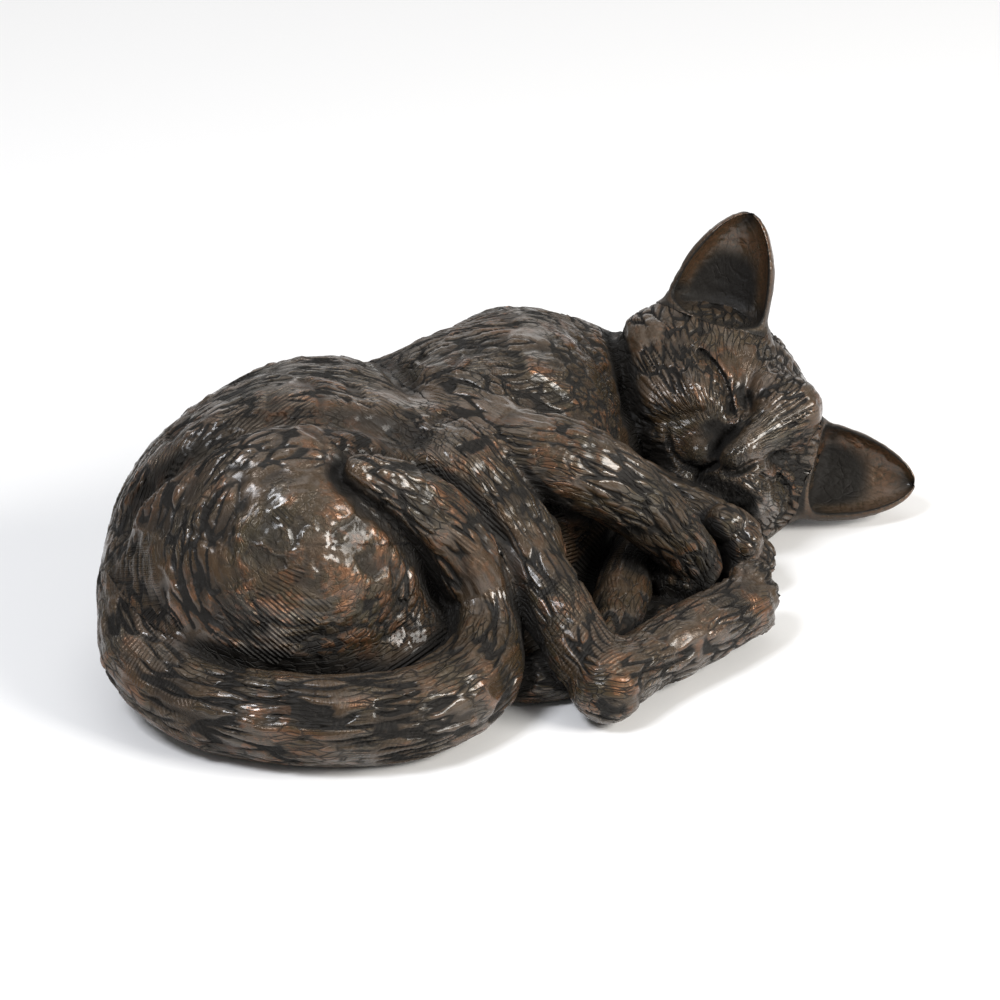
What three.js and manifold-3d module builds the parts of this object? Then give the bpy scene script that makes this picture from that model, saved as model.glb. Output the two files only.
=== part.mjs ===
// Sleeping kitten figurine. A hollow body casting carries the head, ears, legs and tail, which are
// cast apart, pegged and bonded on; a plate closes it underneath and a felt pad covers the plate.
// Millimetres. +X runs from the rump to the head, +Y to the spine, +Z up from the felt's underside.
import * as THREE from 'three';
import { mergeVertices } from 'three/addons/utils/BufferGeometryUtils.js';
import Module from 'manifold-3d';

const wasm = await Module();
wasm.setup();

// Overall sizes. Every station below is a percentage of these three.
const figureLength = 240; // rump to the tip of the lower ear
const figureDepth = 205; // bend of the tail to the back of the neck
const figureHeight = 96; // felt to the tip of the upper ear

// Fits between the pieces.
const bondGap = 0.3; // adhesive line between bonded pieces
const bodyWall = 6;
const plateThickness = 4;
const ventRadius = 6;
const feltThickness = 1;
const feltInset = 5; // from the edge of the body's footprint
const castingFloor = feltThickness + bondGap;

// Locating pegs, each cast on the smaller piece.
const neckPegRadius = 9;
const limbPegRadius = 4;
const earPegRadius = 2.5;

// Head, measured across the ears, from nose to nape, and from crown to chin.
const headWidth = 70;
const headLength = 68;
const headHeight = 58;
const earHalfWidth = 14;
const earDepth = 9;
const earWall = 3;

// Facets: around a section, from pole to pole of a mass, and on each rounded limb end.
const sides = 14;
const massBands = 10;
const capBands = 3;
const bandsPerStation = 2; // along a limb

const at = (x, y, z) => new THREE.Vector3(
  x * figureLength / 100, y * figureDepth / 100, z * figureHeight / 100);

// Torso masses: station of the centre and the three half-sizes.
const torsoMasses = {
  rump: [at(-29.2, -6.8, 29), [44, 48, 46]],
  loin: [at(-25, 2.9, 29), [46, 40, 46]],
  haunch: [at(-25.8, -8.8, 31), [45, 47, 50]],
  groin: [at(-12.5, -12.7, 14), [26, 34, 20]],
  ribs: [at(-12.5, 14.6, 29), [42, 42, 47]],
  shoulder: [at(-0.8, 20, 30), [38, 38, 52]],
  chest: [at(7.5, 23.4, 29), [30, 34, 49]],
  withers: [at(5.8, 32, 29), [34, 34, 41]],
};
const bellyFloor = [at(4.2, 3.9, 3), [36, 34, 8]]; // solid web that closes the hollow of the belly
const neckRoute = [at(10.8, 28.3, 35), at(15, 36, 35), at(20, 41, 33)];
const neckRadii = [33, 28, 24];
const thighRoute = [at(-21.7, 0, 54), at(-12.5, 1, 50), at(-5, 1, 42), at(0, -2.9, 33)];
const thighRadii = [26, 24, 20, 15];

// Limbs and tail: stations along the middle, and the radius at each.
const shinRoute = [at(-0.8, -3.9, 37), at(5, -13.7, 27), at(11.3, -24.9, 13)];
const shinRadii = [15, 12.5, 10];
const footRoute = [at(12.1, -26.3, 12), at(16.7, -18.5, 12), at(23.3, -10.7, 12.5), at(29.6, -2.4, 13)];
const footRadii = [10, 10, 10.5, 9.5];
const lowerHindRoute = [at(-5.8, -18.5, 7), at(3.3, -19.5, 7), at(10, -15.6, 8), at(13, -5.9, 9),
  at(15, 5.9, 12), at(18.3, 17.6, 15)];
const lowerHindRadii = [8, 8, 8, 8.5, 8.5, 9];
const upperForeRoute = [at(-7, 6.3, 57), at(0.8, 2.9, 58), at(8.3, 2.9, 56), at(16.7, 2.9, 46),
  at(22.5, 5.9, 29), at(24.2, 8.3, 18)];
const upperForeRadii = [17, 14.5, 13, 11.5, 10, 11];
const lowerForeRoute = [at(17.5, 22, 27), at(25, 16.6, 23), at(29.6, 12.2, 17)];
const lowerForeRadii = [10, 10, 11];
const tailRoute = [at(-43.3, -13.7, 29), at(-42, -24.4, 19), at(-35, -32.7, 13), at(-27.5, -36.6, 13),
  at(-18.8, -38, 13), at(-10, -35.6, 13), at(-4.2, -26.3, 14), at(-3, -17.6, 16), at(-3.3, -11.7, 23),
  at(-4.2, -12, 33), at(-6.3, -12, 41), at(-9.2, -14.6, 57), at(-12.5, -16.6, 66), at(-16.3, -18, 73)];
const tailRadii = [10, 11, 11.5, 12, 12, 12, 12, 12, 12, 12, 11.5, 10.5, 9.5, 7.5];

// The head lies on its lower cheek and faces the front: noseward, crownward and upward-ear directions.
const headCentre = at(26.7, 37.6, 32);
const noseward = new THREE.Vector3(-0.1, -0.99, 0.127).normalize();
const earward = new THREE.Vector3(-0.487, 0.162, 0.857).normalize();
const crownward = new THREE.Vector3().crossVectors(noseward, earward).normalize().negate();
const headTurn = new THREE.Matrix4().makeBasis(earward, noseward, crownward);
const upperEarTip = at(31.7, 45.4, 100);
const lowerEarTip = at(52, 39, 12.5);

// A place on the head, in halves of its width, height and length from the centre.
function onHead(across, up, forward) {
  return headCentre.clone()
    .addScaledVector(earward, across * headWidth / 2)
    .addScaledVector(crownward, up * headHeight / 2)
    .addScaledVector(noseward, forward * headLength / 2);
}

function toSolid(geometry) {
  const bare = geometry.clone();
  bare.deleteAttribute('normal');
  bare.deleteAttribute('uv');
  const merged = mergeVertices(bare, 1e-4);
  return new wasm.Manifold(new wasm.Mesh({
    numProp: 3,
    vertProperties: new Float32Array(merged.attributes.position.array),
    triVerts: new Uint32Array(merged.index.array),
  }));
}

// An ellipsoid, optionally turned with the head; grow enlarges it on every side.
function mass([centre, halfSizes], grow = 0, turn = new THREE.Matrix4()) {
  const shape = new THREE.SphereGeometry(1, sides + 2, massBands);
  shape.rotateX(Math.PI / 2);
  shape.scale(...halfSizes.map((half) => half + grow));
  shape.applyMatrix4(turn);
  shape.translate(...centre);
  return toSolid(shape);
}

// A round-ended limb: a capsule bent along a smooth route, with its radius varying on the way.
function limb(route, radii, grow = 0) {
  const curve = new THREE.CatmullRomCurve3(route, false, 'centripetal');
  const bands = (route.length - 1) * bandsPerStation;
  const shape = new THREE.CapsuleGeometry(1, bands, capBands, sides, bands);
  const frames = curve.computeFrenetFrames(bands);
  const position = shape.attributes.position;
  const spot = new THREE.Vector3();
  for (let i = 0; i < position.count; i += 1) {
    spot.fromBufferAttribute(position, i);
    const station = THREE.MathUtils.clamp(spot.y + bands / 2, 0, bands);
    const band = Math.round(station);
    const along = curve.getUtoTmapping(band / bands) * (route.length - 1);
    const before = Math.min(Math.floor(along), route.length - 2);
    const radius = THREE.MathUtils.lerp(radii[before], radii[before + 1], along - before) + grow;
    const cap = (spot.y + bands / 2 - station) * radius;
    const placed = curve.getPointAt(band / bands)
      .addScaledVector(frames.tangents[band], cap)
      .addScaledVector(frames.normals[band], spot.z * radius)
      .addScaledVector(frames.binormals[band], spot.x * radius);
    position.setXYZ(i, ...placed);
  }
  return toSolid(shape);
}

// A straight round peg between two places; grow gives the socket that it slides into.
function peg(from, to, radius, grow = 0) {
  const axis = to.clone().sub(from);
  const length = axis.length() + 2 * grow;
  const shape = new THREE.CylinderGeometry(radius + grow, radius + grow, length, sides);
  shape.translate(0, length / 2 - grow, 0);
  const turn = new THREE.Quaternion().setFromUnitVectors(new THREE.Vector3(0, 1, 0), axis.normalize());
  shape.applyQuaternion(turn);
  shape.translate(...from);
  return toSolid(shape);
}

// A layer of space between two heights, wide enough for the whole figure.
function layer(bottom, top) {
  const shape = new THREE.BoxGeometry(2 * figureLength, 2 * figureDepth, top - bottom);
  shape.translate(0, 0, (bottom + top) / 2);
  return toSolid(shape);
}

const join = (...solids) => solids.reduce((whole, next) => whole.add(next));
const cut = (solid, ...tools) => tools.reduce((left, tool) => left.subtract(tool), solid);

// Where two round faces graze, a cut leaves crumbs beside the piece: only the piece is kept.
function largest(solid) {
  return solid.decompose().sort((a, b) => b.volume() - a.volume())[0];
}

const aboveFloor = layer(castingFloor, 2 * figureHeight);

function torso(grow = 0) {
  const masses = Object.values(torsoMasses).map((each) => mass(each, grow));
  return join(...masses, mass(bellyFloor, grow), limb(neckRoute, neckRadii, grow),
    limb(thighRoute, thighRadii, grow));
}

function cavity(grow = 0) {
  return join(...Object.values(torsoMasses).map((each) => mass(each, grow - bodyWall)));
}

// The head's masses: half-sizes are shares of half the head's width, length and height.
function skull(grow = 0) {
  const halves = [headWidth / 2, headLength / 2, headHeight / 2];
  const turned = (centre, shares) => mass(
    [centre, halves.map((half, i) => half * shares[i])], grow, headTurn);
  return join(
    turned(onHead(0, 0.17, -0.24), [1, 1, 1]),
    ...[-1, 1].map((side) => turned(onHead(0.43 * side, -0.24, 0.24), [0.57, 0.6, 0.6])),
    ...[-1, 1].map((side) => turned(onHead(0.17 * side, -0.41, 0.94), [0.25, 0.27, 0.26])),
    turned(onHead(0, 0.1, 0.7), [0.3, 0.36, 0.42]),
    turned(onHead(0, -0.69, 0.76), [0.26, 0.27, 0.24]),
  );
}

// An ear is a pointed shell, open to the front, that rises from its base on the head to its tip.
function ear(base, tip, opens, pegEnd) {
  const rise = tip.clone().sub(base);
  const height = rise.length();
  const up = rise.normalize();
  const across = new THREE.Vector3().crossVectors(up, opens).normalize();
  const front = new THREE.Vector3().crossVectors(across, up);
  const turn = new THREE.Matrix4().makeBasis(across, up, front);
  const blade = (width, depth, top, shift) => {
    const profile = [new THREE.Vector2(0, -0.3 * top)];
    for (let i = 0; i < 9; i += 1) {
      const share = i / 9;
      profile.push(new THREE.Vector2((1 - share ** 1.7) ** 0.5, share * top));
    }
    profile.push(new THREE.Vector2(0, top));
    const shape = new THREE.LatheGeometry(profile, sides);
    shape.scale(width, 1, depth);
    shape.translate(0, 0, shift);
    shape.applyMatrix4(turn);
    shape.translate(...base);
    return toSolid(shape);
  };
  const scoop = blade(earHalfWidth - earWall, earDepth - earWall, height - earWall, earWall + 1);
  const shell = cut(blade(earHalfWidth, earDepth, height, 0), scoop);
  return join(largest(cut(shell, skull(bondGap))), peg(rooted(base, tip), pegEnd, earPegRadius));
}

// The solid back of an ear, just outside the head, where its peg starts.
function rooted(base, tip) {
  return base.clone().lerp(tip, 0.35).addScaledVector(noseward, -earDepth * 0.55);
}

function buildPieces() {
  const solidTorso = torso();
  const torsoFit = torso(bondGap);
  const headFit = skull(bondGap);

  const upperEarBase = onHead(0.77, 0.52, -0.18);
  const lowerEarBase = onHead(-0.75, 0.52, -0.18);
  const upperOpens = new THREE.Vector3(-0.1, -0.95, 0.25);
  const lowerOpens = new THREE.Vector3(0, -0.8, 0.6);
  const upperPegEnd = onHead(0.5, 0.3, -0.4);
  const lowerPegEnd = onHead(-0.5, 0.3, -0.4);
  const upperEar = ear(upperEarBase, upperEarTip, upperOpens, upperPegEnd);
  const lowerEar = ear(lowerEarBase, lowerEarTip, lowerOpens, lowerPegEnd);

  const neckPegEnd = neckRoute[1].clone().lerp(neckRoute[0], 0.2);
  const head = cut(
    join(skull(), peg(headCentre, neckPegEnd, neckPegRadius)),
    peg(rooted(upperEarBase, upperEarTip), upperPegEnd, earPegRadius, bondGap),
    peg(rooted(lowerEarBase, lowerEarTip), lowerPegEnd, earPegRadius, bondGap),
  );

  // Each limb: its own shape, less what it beds against, with a peg into the body.
  const hindFit = join(limb(shinRoute, shinRadii, bondGap), limb(footRoute, footRadii, bondGap));
  const hindRaw = join(limb(shinRoute, shinRadii), limb(footRoute, footRadii));
  const hindPeg = [shinRoute[1], thighRoute[2]];
  const hindLeg = join(largest(cut(hindRaw, torsoFit)), peg(...hindPeg, limbPegRadius));

  const tailPeg = [tailRoute[1], torsoMasses.rump[0].clone().lerp(tailRoute[1], 0.8)];
  const tail = join(
    largest(cut(limb(tailRoute, tailRadii), torsoFit, hindFit)), peg(...tailPeg, limbPegRadius));
  const tailFit = limb(tailRoute, tailRadii, bondGap);

  const upperForeFit = limb(upperForeRoute, upperForeRadii, bondGap);
  const forePeg = [upperForeRoute[1], torsoMasses.shoulder[0].clone().lerp(upperForeRoute[1], 0.75)];
  const upperFore = join(
    largest(cut(limb(upperForeRoute, upperForeRadii), torsoFit, headFit, hindFit, tailFit)),
    peg(...forePeg, limbPegRadius));

  const lowerForeFit = limb(lowerForeRoute, lowerForeRadii, bondGap);
  const lowerFore = largest(cut(limb(lowerForeRoute, lowerForeRadii), torsoFit, headFit, hindFit,
    tailFit, upperForeFit));

  const lowerHind = largest(cut(limb(lowerHindRoute, lowerHindRadii), torsoFit, headFit, hindFit,
    tailFit, upperForeFit, lowerForeFit));

  const body = cut(solidTorso, cavity(), headFit,
    peg(headCentre, neckPegEnd, neckPegRadius, bondGap),
    peg(...hindPeg, limbPegRadius, bondGap),
    peg(...tailPeg, limbPegRadius, bondGap),
    peg(...forePeg, limbPegRadius, bondGap));

  const vent = torsoMasses.ribs[0].clone().setZ(0);
  const plate = cut(
    cavity(-bondGap).intersect(layer(castingFloor, castingFloor + plateThickness)),
    peg(vent, vent.clone().setZ(figureHeight), ventRadius));
  const felt = torso(-feltInset).intersect(layer(castingFloor, castingFloor + feltThickness))
    .translate([0, 0, -castingFloor]);

  const cast = (solid) => largest(solid.intersect(aboveFloor));
  return {
    body_shell: cast(body),
    head: cast(head),
    upper_ear: cast(upperEar),
    lower_ear: cast(lowerEar),
    upper_hind_leg: cast(hindLeg),
    lower_hind_leg: cast(lowerHind),
    upper_foreleg: cast(upperFore),
    lower_foreleg: cast(lowerFore),
    tail: cast(tail),
    base_plate: largest(plate),
    felt_pad: largest(felt),
  };
}

const bronzePatina = { color: '#4a362a', roughness: 0.42, metalness: 0 };
const rawCasting = { color: '#8d8478', roughness: 0.8, metalness: 0 };
const darkFelt = { color: '#26332b', roughness: 0.95, metalness: 0 };
const finishes = { base_plate: rawCasting, felt_pad: darkFelt };

function toMesh(name, solid) {
  const { vertProperties, triVerts, numProp } = solid.getMesh();
  const geometry = new THREE.BufferGeometry();
  const positions = new Float32Array(vertProperties.length / numProp * 3);
  for (let i = 0; i < positions.length / 3; i += 1) {
    positions.set(vertProperties.subarray(i * numProp, i * numProp + 3), i * 3);
  }
  geometry.setAttribute('position', new THREE.BufferAttribute(positions, 3));
  geometry.setIndex([...triVerts]);
  geometry.computeVertexNormals();
  const mesh = new THREE.Mesh(geometry, new THREE.MeshStandardMaterial(finishes[name] ?? bronzePatina));
  mesh.name = name;
  return mesh;
}

const figurine = new THREE.Group();
for (const [name, solid] of Object.entries(buildPieces())) {
  figurine.add(toMesh(name, solid));
}

export default figurine;
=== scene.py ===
import math
import bpy
import numpy as np
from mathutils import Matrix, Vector


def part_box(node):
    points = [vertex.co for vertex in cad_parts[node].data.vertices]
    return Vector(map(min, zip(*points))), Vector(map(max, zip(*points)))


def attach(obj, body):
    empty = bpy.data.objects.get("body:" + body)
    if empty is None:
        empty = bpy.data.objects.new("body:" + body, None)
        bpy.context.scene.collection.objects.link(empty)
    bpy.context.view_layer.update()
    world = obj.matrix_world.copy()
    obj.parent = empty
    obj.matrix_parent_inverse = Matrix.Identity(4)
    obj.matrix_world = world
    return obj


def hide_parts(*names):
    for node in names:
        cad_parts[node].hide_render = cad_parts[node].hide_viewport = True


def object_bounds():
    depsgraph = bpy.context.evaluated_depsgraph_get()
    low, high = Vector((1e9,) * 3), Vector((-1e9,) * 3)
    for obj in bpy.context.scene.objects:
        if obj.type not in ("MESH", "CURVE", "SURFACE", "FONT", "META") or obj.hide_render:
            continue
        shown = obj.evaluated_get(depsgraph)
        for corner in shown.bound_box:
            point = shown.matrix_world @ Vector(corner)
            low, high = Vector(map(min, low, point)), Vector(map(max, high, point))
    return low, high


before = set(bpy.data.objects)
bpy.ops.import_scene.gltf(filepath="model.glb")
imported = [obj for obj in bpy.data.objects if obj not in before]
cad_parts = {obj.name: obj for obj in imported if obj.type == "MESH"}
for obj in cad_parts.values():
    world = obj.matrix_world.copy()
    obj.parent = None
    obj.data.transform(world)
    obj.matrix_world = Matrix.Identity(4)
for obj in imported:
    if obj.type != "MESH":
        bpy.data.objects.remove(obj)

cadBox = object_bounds()

# The armature is drawn in millimetres for a figure 239 mm long, and follows the frame's length.
mm = (cadBox[1].x - cadBox[0].x) / 239.0
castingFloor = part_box("body_shell")[0].z / mm

rough = {
    "cell": 0.52,       # mm, mesh grid
    "bodyCell": 0.79,   # mm, coarser on the two big castings
    "overlap": 0.35,                           # mm, how far neighbours share their seam
    "mouthRim": 5.6,                           # mm, bronze left round the base plate's recess
    "mouthDepth": 4.4,                         # mm
}


def middle(node):
    low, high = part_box(node)
    return np.array((low + high) / 2) / mm


# Every shape below is a distance in mm from the points p, negative inside the bronze.
def unit(v):
    v = np.asarray(v, np.float32)
    return v / np.linalg.norm(v)


def merge(a, b, k):
    h = np.clip(0.5 + 0.5 * (b - a) / k, 0, 1)
    return b + (a - b) * h - k * h * (1 - h)


def carve(a, b, k):
    return -merge(-a, b, k)


def crease(a, b, k, depth, width):
    return merge(a, b, k) + depth * np.exp(-(a * a + b * b) / (width * width))


def ramp(x, low, high):
    t = np.clip((x - low) / (high - low), 0, 1)
    return t * t * (3 - 2 * t)


def ball(p, centre, radii, axes=None):
    q = p - np.asarray(centre, np.float32)
    if axes is not None:
        q = q @ np.asarray(axes, np.float32).T
    r = np.asarray(radii, np.float32) * np.ones(3, np.float32)
    a = np.sqrt(((q / r) ** 2).sum(-1))
    b = np.sqrt(((q / (r * r)) ** 2).sum(-1)) + 1e-9
    return a * (a - 1) / b


def smoothRoute(stations, steps=3):
    rows = np.asarray(stations, float)
    ends = np.vstack([2 * rows[0] - rows[1], rows, 2 * rows[-1] - rows[-2]])
    out = []
    for i in range(len(rows) - 1):
        a, b, c, d = ends[i:i + 4]
        for t in np.arange(steps) / steps:
            out.append(0.5 * (2 * b + (c - a) * t + (2 * a - 5 * b + 4 * c - d) * t ** 2
                              + (3 * b - a - 3 * c + d) * t ** 3))
    out.append(rows[-1])
    return np.array(out, np.float32)


def limb(p, stations, steps=3):
    route = smoothRoute(stations, steps)
    best = None
    for a, b in zip(route[:-1], route[1:]):
        ab = b[:3] - a[:3]
        q = p - a[:3]
        t = np.clip((q @ ab) / (ab @ ab + 1e-9), 0, 1)
        q -= t[:, None] * ab
        e = np.sqrt((q * q).sum(-1)) - (a[3] + t * (b[3] - a[3]))
        best = e if best is None else np.minimum(best, e)
    return best


# Each station of the armature is x, y, z and a radius, in mm.
tailStations = [(-104, -28, 28, 10), (-101, -50, 18.5, 11.4), (-84, -67, 13.2, 12.2), (-66, -75, 13, 12.6),
                (-45, -78, 13, 12.6), (-24, -73, 13.2, 12.9), (-10, -57, 14, 12.9), (-6, -40, 17, 12.8),
                (-7, -29, 26, 12.6), (-12, -28, 37, 12.4), (-19, -29, 48, 12), (-27, -33, 57.5, 10.8),
                (-34, -36.5, 64.5, 8.6), (-41, -39, 69.5, 5.6)]
shinStations = [(-14, -6, 50, 17), (-4, -12, 42, 14), (3, -19, 33, 12.5), (12, -29, 25, 11.5),
                (20, -42, 18, 10), (27, -51, 12.5, 9.6)]
footStations = [(29, -53.5, 11.5, 9.4), (41, -38, 12, 9.4), (56, -22, 12.5, 10), (68, -8, 12.5, 9.4)]
lowerHindStations = [(-14, -38, 7, 8), (8, -40, 7, 8), (24, -32, 8, 8), (31, -12, 9, 8.5),
                     (36, 12, 12, 8.5), (44, 36, 14, 9)]
upperForeStations = [(-15, 14, 54, 16), (2, 6, 54, 14.5), (18, 5, 52, 13), (34, 6, 43, 11.2),
                     (46, 10.5, 29.5, 9.8), (53, 15.5, 18.5, 9.2)]
lowerForeStations = [(42, 46, 25, 10), (58, 38, 20, 9.5), (67, 32, 16, 9)]
spineStations = [(-80, -50, 40, 1), (-98, -12, 44, 1), (-74, 24, 46, 1), (-38, 44, 48, 1),
                 (0, 56, 52, 1), (30, 74, 46, 1), (56, 96, 40, 1)]

noseward = unit((-0.10, -0.99, 0.127))
earward = unit((-0.487, 0.162, 0.857))
crownward = unit(np.cross(earward, noseward))
headAxes = np.array([earward, noseward, crownward])
headCentre = middle("head") + np.array((-1.7, -0.2, -2.2))


def onHead(across, forward, up):
    return headCentre + across * earward + forward * noseward + up * crownward


def onHeadRoute(rows):
    return [(*onHead(*row[:3]), row[3]) for row in rows]


thighRidge = [(-99, -30, 54, 3.5), (-87, -31, 64, 4), (-75, -32, 70, 4), (-60, -28, 74, 4),
              (-44.5, -21, 72, 4), (-29, -11, 64, 3.5)]
loinValley = [(-106, -27, 49, 0.8), (-99.5, -26, 58.5, 1.6), (-91, -27, 66, 1.8), (-83, -26, 72, 1.8),
              (-76, -23.5, 76, 1.8), (-64, -21, 79, 1.8), (-52, -20.5, 78.4, 1.8), (-40.5, -14.7, 74, 1.8),
              (-31, -11, 69.5, 1.8), (-23, -9, 66, 1)]


def hindBody(p):
    d = ball(p, (-70, -14, 28), (44, 48, 46))
    d = merge(d, ball(p, (-60, 6, 28), (46, 40, 46)), 14)
    d = merge(d, ball(p, (-52, 18, 30), (44, 42, 47)), 10)
    d = merge(d, ball(p, (-30, -26, 12), (24, 33, 20)), 8)
    haunch = ball(p, (-62, -18, 30), (45, 47, 50))
    thigh = limb(p, [(-54, 0, 50, 27), (-32, 2, 47, 24), (-12, 2, 41, 19), (2, -8, 33, 14)])
    d = merge(d, merge(haunch, thigh, 8), 6)
    d = merge(d, limb(p, thighRidge), 8)
    return carve(d, limb(p, loinValley) - 0.6, 11)


def foreBody(p):
    d = ball(p, (-14, 34, 28), (40, 40, 48))
    d = merge(d, ball(p, (-3, 41, 29), (37, 38, 48)), 10)
    d = merge(d, ball(p, (4, 47, 28), (25, 34, 47)), 10)
    d = merge(d, ball(p, (4, 70, 28), (33, 34, 41)), 16)
    d = merge(d, limb(p, [(4, 64, 46, 26), (17, 79, 43, 21.5), (36, 88, 38, 18)]), 8)
    d = merge(d, ball(p, (14, 10, 3), (38, 34, 8)), 6)
    d = merge(d, ball(p, (46, 20, 2), (30, 22, 7)), 5)
    return merge(d, ball(p, (33, 66, 28), (13, 16, 18)), 6)


def hindLeg(p):
    d = limb(p, shinStations)
    d = merge(d, limb(p, footStations), 4)
    heel = ball(p, (28, -56, 10), (8, 8, 8))
    d = merge(d, heel, 4)
    for toe in [(72, -5, 8), (73.5, -3, 14), (71, -1, 19)]:
        d = crease(d, ball(p, toe, (6.2, 7, 5)), 3, 0.5, 1.4)
    return d


def lowerHindLeg(p):
    return limb(p, lowerHindStations)


def upperForeleg(p):
    d = limb(p, upperForeStations)
    d = merge(d, ball(p, (-9, 24, 56), (17, 20, 17)), 8)
    for toe in [(47.5, 12, 10.5), (52.5, 11.5, 9), (57, 14, 10), (59, 18, 13.5)]:
        d = crease(d, ball(p, toe, (5.2, 5.6, 7.5)), 3, 0.55, 1.4)
    return d


def lowerForeleg(p):
    d = limb(p, lowerForeStations)
    for toe in [(65, 26, 23), (70, 24, 17), (69, 22, 9), (74, 28, 11)]:
        d = crease(d, ball(p, toe, (6.4, 6.4, 6.4)), 3, 0.6, 1.4)
    return d


def tail(p):
    return limb(p, tailStations)


faceMiddle = -1.7
# A route across and up the face, how deep it is cut (raised, if below 0), and its half width.
faceLines = [
    ([(9.5, 11), (12, 11.6), (15, 12.4), (19, 12.8), (23.5, 12), (28, 9.8)], 2.5, 1.0),   # closed eye
    ([(15.3, 7.2), (21.6, 6.4)], 0.6, 0.7),                                 # lower lid
    ([(9.5, 16), (13.5, 17.5), (19, 19.5), (26, 18)], 2.4, 3.0),            # eye socket
    ([(9, 24), (16, 27), (27, 24.5)], -0.6, 3.6),                           # brow
    ([(16, 5.5), (23, 6)], -3.2, 5.2),                                      # eyeball under the lid
    ([(12, 15.5), (7, 15.5), (5, 11.9), (4.3, 6), (3.4, 3.4)], 1.3, 1.4),   # side of the nose
    ([(0, 1.5), (0.2, -4)], 1.2, 0.8),                                      # cleft below the nose
    ([(0.2, -4), (4, -8), (9, -9.5), (14, -8)], 1.1, 0.9),                  # mouth
    ([(14.5, 5), (16, -3), (18, -12)], 1.8, 2.2),                           # behind the whisker pad
]


def lineDistance(x, y, route):
    best = None
    for (x0, y0), (x1, y1) in zip(route[:-1], route[1:]):
        dx, dy = x1 - x0, y1 - y0
        t = np.clip(((x - x0) * dx + (y - y0) * dy) / (dx * dx + dy * dy), 0, 1)
        e = (x - x0 - t * dx) ** 2 + (y - y0 - t * dy) ** 2
        best = e if best is None else np.minimum(best, e)
    return best


def head(p):
    def part(across, forward, up, radii):
        return ball(p, onHead(across, forward, up), radii, headAxes)
    m = faceMiddle
    d = part(1, -8, 2, (36, 34, 28))
    d = merge(d, part(m, 8, -12, (26, 20, 13)), 8)
    for side in (1, -1):
        d = merge(d, part(2.5 + 22 * side, -2, -5, (18, 19, 16)), 8)
        d = merge(d, part(m + 15 * side, 11, -5, (18, 18, 15)), 8)
    nose = [(m, 14, 25, 10), (m, 22, 18, 7.6), (m + 0.4, 30, 11.5, 5), (m + 0.6, 34, 8.6, 4)]
    d = merge(d, limb(p, onHeadRoute(nose)), 8)
    d = merge(d, part(m, 27, -9, (10, 9, 7)), 5)
    d = merge(d, part(m - 8, 25, 7, (9, 10, 9)), 6)
    d = merge(d, part(m - 6.2, 29.5, -0.5, (7.6, 7.4, 7)), 6)
    d = merge(d, part(m + 5.2, 28.8, -2, (4.6, 6.2, 5.4)), 3)
    d = merge(d, part(m + 0.4, 34.2, 7.2, (4.8, 5, 4.4)), 2)
    q = p - headCentre.astype(np.float32)
    across, forward, up = q @ earward - m, q @ noseward, q @ crownward
    near = (forward > 4) & (np.abs(d) < 8)
    side, rise = np.abs(across[near]), up[near]
    relief = np.zeros(len(side), np.float32)
    for route, depth, width in faceLines:
        relief += depth * np.exp(-lineDistance(side, rise, route) / width ** 2)
    d[near] += relief * ramp(forward[near], 4, 14)
    return d


ears = {
    "flatness": 0.62,   # depth of an ear over its width
    "wall": 1.9,        # mm
    "lip": 1.4,         # mm, rounding of the rim
    "root": 12,         # mm, how far an ear reaches into the skull
}
upperEarSet = {
    "base": onHead(30.5, -6, 16),
    "tip": np.array((74.3, 93, cadBox[1].z / mm - 1)),
    "opens": unit((-0.15, -0.95, 0.2)),
    "halfWidth": 15.2,
}
lowerEarSet = {
    "base": onHead(-26.5, -6, 18.5),
    "tip": np.array((cadBox[1].x / mm + 1, 80, 11)),
    "opens": unit((0.05, -0.8, 0.6)),
    "halfWidth": 15,
}


def ear(p, base, tip, opens, halfWidth):
    rise = tip - base
    height = np.linalg.norm(rise)
    up = unit(rise)
    across = unit(np.cross(up, opens))
    front = np.cross(across, up)
    q = p - base.astype(np.float32)
    x, y, z = q @ across, q @ front, q @ up
    t = np.clip(z / height, 0, 1)
    width = halfWidth * (1 - t ** 1.9) ** 0.6 + 0.6
    depth = width * ears["flatness"]
    outer = (np.sqrt((x / width) ** 2 + (y / depth) ** 2) - 1) * depth
    outer = merge(-merge(-outer, height - z, 2), outer, 0.1)
    outer = np.maximum(outer, -z - ears["root"])
    innerWidth = width - ears["wall"]
    inner = (np.sqrt((x / innerWidth) ** 2 + ((y - depth * 0.42) / (depth * 0.98)) ** 2) - 1) * depth
    inner = np.maximum(inner + 4 * (1 - ramp(z, -6, 3)), -z - 4)
    return carve(outer, inner, ears["lip"])


def upperEar(p):
    return ear(p, **upperEarSet)


def lowerEar(p):
    return ear(p, **lowerEarSet)


shapes = {"hindBody": hindBody, "foreBody": foreBody, "hindLeg": hindLeg, "lowerHindLeg": lowerHindLeg,
          "upperForeleg": upperForeleg, "lowerForeleg": lowerForeleg, "curledTail": tail, "skull": head,
          "upperEar": upperEar, "lowerEar": lowerEar}

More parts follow.
